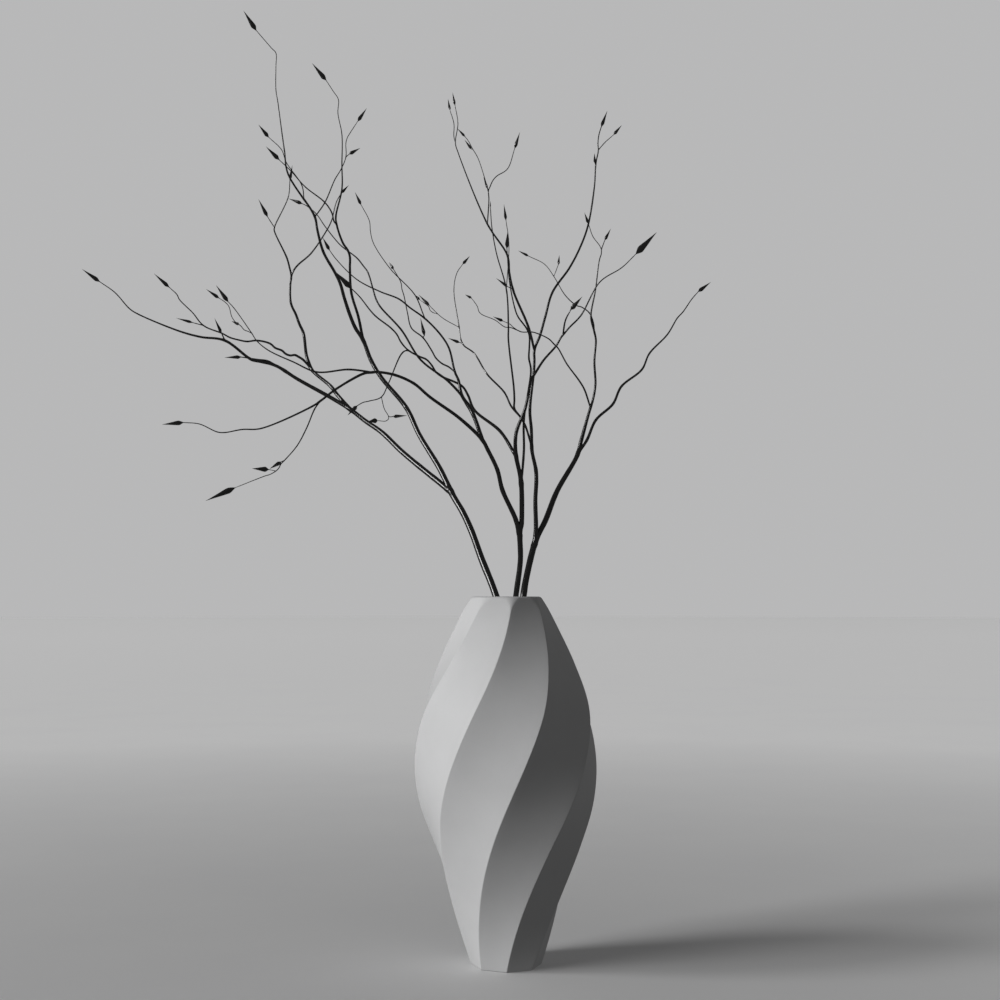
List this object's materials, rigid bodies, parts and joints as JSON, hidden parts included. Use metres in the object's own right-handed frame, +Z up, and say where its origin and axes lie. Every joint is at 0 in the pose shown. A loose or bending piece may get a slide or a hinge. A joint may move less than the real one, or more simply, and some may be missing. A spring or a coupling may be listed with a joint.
{
  "type": "branch arrangement in vase",
  "caption": "Bare budded branches standing in a tall twisted, flat-sided ceramic vase with a narrow mouth; free-standing table or shelf decor.",
  "frame": {"origin": "centre of the vase's base", "axes": "+Z up along the vase's axis, +X to the right seen from the front, +Y to the back"},
  "size_m": [0.6876, 0.3537, 1.0112],
  "materials": {
    "vase_ceramic": "matte",
    "branch_wood": "satin"
  },
  "bodies": {
    "root": {"vase": "vase_ceramic", "branch_left": "branch_wood", "branch_middle": "branch_wood", "branch_right": "branch_wood"}
  },
  "joints": []
}
